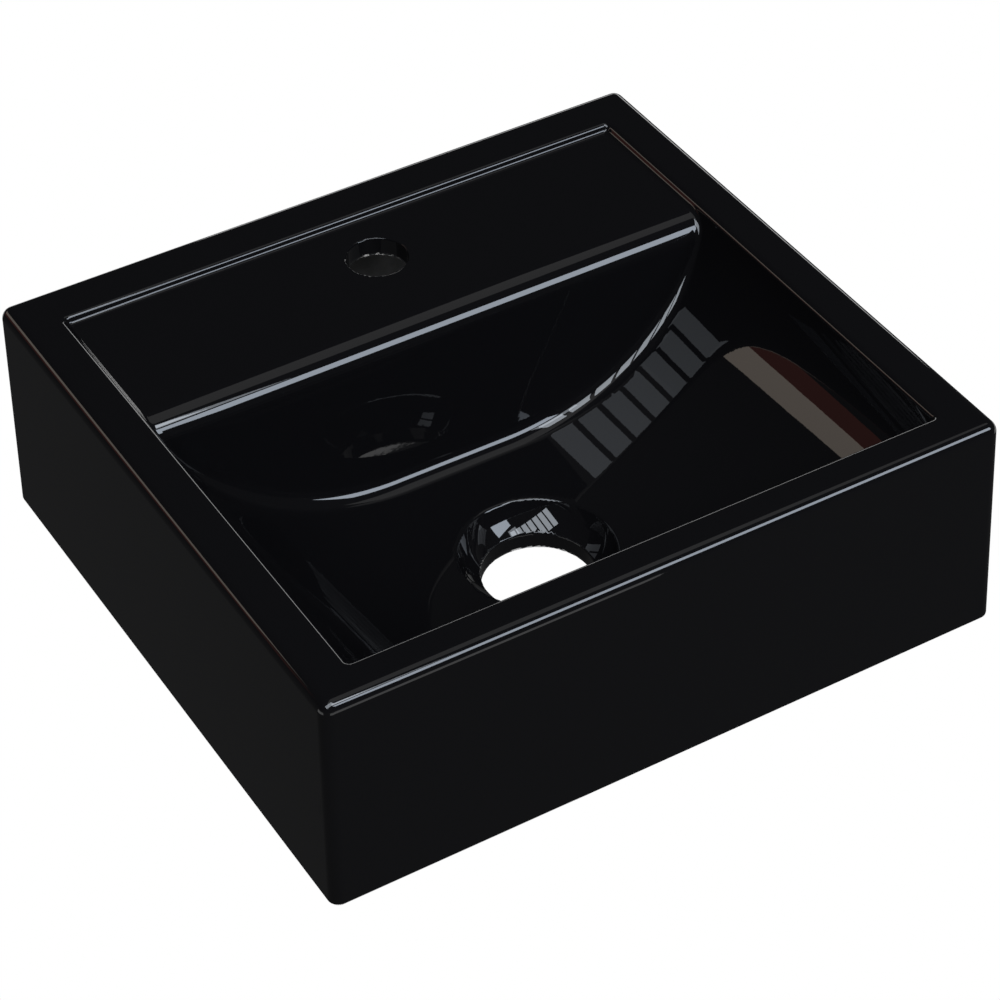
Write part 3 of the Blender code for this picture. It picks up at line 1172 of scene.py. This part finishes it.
        def shape(p: Array) -> Array:
            """Distance from the nut.

            Args:
                p: Points, in metres.

            Returns:
                Signed distances, negative inside.
            """
            out, ends = at.out(p), at.ends(p)
            x, z = p[..., 0] - at.x, p[..., 2] - at.z
            u, v = (x, z) if upright else (z, x)
            sides = np.abs(u)
            for turn in (-1, 1):
                sides = np.maximum(sides, np.abs(0.5 * u + turn * math.sqrt(0.75) * v))
            chamfer = (out - self.nut_face_radius) * 0.5 + ends * math.sqrt(0.75)
            body = round_meet(round_meet(sides - flat, ends, 0.2 * MM), chamfer, 0.3 * MM)
            sink = (self.bore + 0.7 * MM - out + ends) * math.sqrt(0.5)
            return np.maximum(np.maximum(body, self.bore - out), sink)

        return net_mesh(f"hex_nut_{self.side}_forging", shape, at.planes(0.45 * MM, 0.4 * MM))[0]

    def build(self) -> None:
        """Makes the five pieces and hands them over."""
        for name, stock, mesh, slot, finish in (
            ("hanger_bolt", "thread", self.bolt(), "zinc_plated_steel", self.steel),
            ("wall_plug", "ribs", self.plug(), "grey_nylon", self.grey),
            ("collar", "moulding", self.collar(), "white_nylon", self.white),
            ("washer", "stamping", self.washer(), "zinc_plated_steel", self.steel),
            ("hex_nut", "forging", self.nut(), "zinc_plated_steel", self.steel),
        ):
            piece = new_object(f"{name}_{self.side}_{stock}", mesh)
            hand_over(piece, f"{name}_{self.side}", slot, finish)


# ---------------------------------------------------------------------------------------------
# Studio
# ---------------------------------------------------------------------------------------------


@dataclass(frozen=True)
class Bearing:
    """A direction seen from the basin: degrees round from straight ahead of it, and above the horizon."""

    azimuth: float
    elevation: float

    def outward(self) -> Vector:
        """The unit vector from the basin in this direction."""
        turn, rise = math.radians(self.azimuth), math.radians(self.elevation)
        return Vector((math.sin(turn) * math.cos(rise), -math.cos(turn) * math.cos(rise), math.sin(rise)))


@dataclass(frozen=True)
class Viewpoint:
    """The camera: where it stands round the basin, what it aims at, and its lens."""

    bearing: Bearing = Bearing(-30.09, 40.74)
    aim: tuple[float, float, float] = (-3.0 * MM, -201.0 * MM, -10.9 * MM)
    distance: float = 1.7785
    roll: float = -0.0229
    lens: float = 117.8

    def build(self) -> None:
        """Makes the camera, rolled a little about its own axis, and gives it to the scene."""
        data = bpy.data.cameras.new("camera")
        data.lens = self.lens
        data.sensor_width = SENSOR_WIDTH
        camera = bpy.data.objects.new("camera", data)
        bpy.context.scene.collection.objects.link(camera)
        outward = self.bearing.outward()
        level = (-outward).to_track_quat("-Z", "Y").to_matrix()
        turned = level @ Matrix.Rotation(self.roll, 3, "Z")
        camera.matrix_world = Matrix.Translation(Vector(self.aim) + outward * self.distance) @ turned.to_4x4()
        bpy.context.scene.camera = camera


def shine(name: str, outward: Vector, across: Vector, card: "Panel | Window") -> None:
    """Hangs one light that faces the basin and is seen only in reflections.

    Args:
        name: The light's name.
        outward: Unit vector from the basin to the light.
        across: The way that its width runs, roughly.
        card: Holds its width, height, radiance, tint and distance.
    """
    data = bpy.data.lights.new(name, "AREA")
    data.shape = "RECTANGLE"
    data.size, data.size_y = card.width, card.height
    data.color = card.tint
    data.energy = card.radiance * math.pi * card.width * card.height
    light = bpy.data.objects.new(name, data)
    bpy.context.scene.collection.objects.link(light)
    wide = (across - outward * across.dot(outward)).normalized()
    tall = outward.cross(wide)
    facing = Matrix((wide, tall, outward)).transposed()
    middle = Vector((0.0, BASIN_MIDDLE, 0.0))
    light.matrix_world = Matrix.Translation(middle + outward * card.distance) @ facing.to_4x4()
    light.visible_camera = False


@dataclass(frozen=True)
class Panel:
    """A soft light panel that faces the basin and is seen only in reflections."""

    name: str
    bearing: Bearing
    width: float
    height: float
    radiance: float
    tint: tuple[float, float, float] = (1.0, 1.0, 1.0)
    distance: float = 1.6

    def build(self) -> None:
        """Makes the light, level across."""
        shine(self.name, self.bearing.outward(), self.bearing.outward().cross(Vector((0, 0, 1))) * -1, self)


@dataclass(frozen=True)
class Window:
    """A row of bright panes with dark bars between them."""

    name: str
    first: Bearing
    last: Bearing
    panes: int
    width: float
    height: float
    radiance: float
    tint: tuple[float, float, float] = PALE_SKY
    distance: float = FAR

    def build(self) -> None:
        """Makes the panes in line from the first bearing to the last, all facing the basin."""
        start, end = self.first.outward(), self.last.outward()
        for index in range(self.panes):
            outward = start.slerp(end, index / (self.panes - 1)).normalized()
            shine(f"{self.name}_{index}", outward, end - start, self)


@dataclass(frozen=True)
class Studio:
    """A white floor and background, a dim surround for reflections, and soft panels and windows."""

    above: float = 0.022
    below: float = 0.047
    below_tilt: float = 0.006
    floor_half: float = 12.0

    def floor(self, top: float) -> None:
        """Lays the floor, which is clear from below, so that the underside shows.

        Args:
            top: Its height.
        """
        bm = bmesh.new()
        bmesh.ops.create_grid(bm, x_segments=1, y_segments=1, size=self.floor_half)
        mesh = bpy.data.meshes.new("floor")
        bm.to_mesh(mesh)
        bm.free()
        mesh.transform(Matrix.Translation((0, 0, top)))
        nodes = FinishNodes("floor_white")
        tree = nodes.tree
        tree.nodes.remove(nodes.shader)
        glow = nodes.add("ShaderNodeEmission", None, {"Color": WHITE, "Strength": 1.0})
        back = nodes.add("ShaderNodeNewGeometry").outputs["Backfacing"]
        clear = nodes.add("ShaderNodeBsdfTransparent")
        mixed = nodes.add("ShaderNodeMixShader", None, {0: back, 1: glow.outputs[0], 2: clear.outputs[0]})
        nodes.feed(tree.nodes["Material Output"].inputs["Surface"], mixed.outputs[0])
        floor = new_object("floor", mesh)
        floor.data.materials.append(nodes.material)
        floor.visible_diffuse = floor.visible_glossy = floor.visible_shadow = False
        floor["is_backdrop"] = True

    def surroundings(self) -> None:
        """A white background, and a dim surround for everything but the background."""
        world = bpy.data.worlds.new("surround")
        bpy.context.scene.world = world
        world.use_nodes = True
        nodes = NodeMaker(world.node_tree)
        seen = nodes.add("ShaderNodeLightPath").outputs["Is Camera Ray"]
        toward = nodes.add("ShaderNodeTexCoord").outputs["Generated"]
        parts = nodes.add("ShaderNodeSeparateXYZ", None, {0: toward}).outputs
        depth, height = Value(nodes, parts[1]), Value(nodes, parts[2])
        lower = self.below - depth * self.below_tilt
        share = height.ramp(-0.25, 0.25)
        level = share * self.above + (1 - share) * lower
        dim = world.node_tree.nodes["Background"]
        nodes.feed(dim.inputs["Color"], (0.98, 0.99, 1.0, 1))
        nodes.feed(dim.inputs["Strength"], level)
        white = nodes.add("ShaderNodeBackground", None, {"Color": WHITE, "Strength": 1.0})
        mixed = nodes.add("ShaderNodeMixShader", None, {0: seen, 1: dim.outputs[0], 2: white.outputs[0]})
        nodes.feed(world.node_tree.nodes["World Output"].inputs["Surface"], mixed.outputs[0])

    def build(self, top: float) -> None:
        """Makes the whole studio.

        Args:
            top: The floor's height.
        """
        bpy.context.scene.view_settings.view_transform = "Standard"
        self.floor(top)
        self.surroundings()
        for light in (
            Panel("front_window", Bearing(31.5, 34), 2.0, 1.4, radiance=8.0, tint=CLEAR_SKY, distance=FAR),
            Panel("front_upper_window", Bearing(19, 51), 1.0, 1.0, radiance=4.0, tint=PALE_SKY, distance=FAR),
            Window("left_window", Bearing(24, 60), Bearing(-52, 39), 7, 0.57, 2.2, radiance=6.5),
            Panel("ceiling", Bearing(38, 76), 4.8, 1.8, radiance=0.40, distance=4.0),
            Panel("rear_strip", Bearing(143, 8), 1.3, 0.26, radiance=2.2),
            Panel("beige_card", Bearing(220, 22.6), 0.72, 0.25, radiance=1.25, tint=BEIGE),
            Panel("left_ember", Bearing(224, 14.0), 0.72, 0.23, radiance=0.24, tint=EMBER),
            Panel("under_panel", Bearing(0, -88), 1.1, 1.1, radiance=3.0),
            *(
                Panel(f"low_panel_{turn}", Bearing(turn, -15), 1.3, 0.5, radiance=0.9)
                for turn in (0, 90, 180, 270)
            ),
        ):
            light.build()


def main() -> None:
    """Builds the camera, the studio, the basin and its fixings."""
    logging.basicConfig(level=logging.INFO, format="%(message)s")
    Viewpoint().build()
    low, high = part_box("basin_body")
    Studio().build(low.z - FLOOR_GAP)
    Basin(low, high).build(BlackGlaze().material())
    steel = ZincSteel().material()
    white, grey = Nylon(NylonColour.WHITE).material(), Nylon(NylonColour.GREY).material()
    for side in ("left", "right"):
        Fixing(side, steel, white, grey).build()
    low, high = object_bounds()


if __name__ == "__main__":
    main()
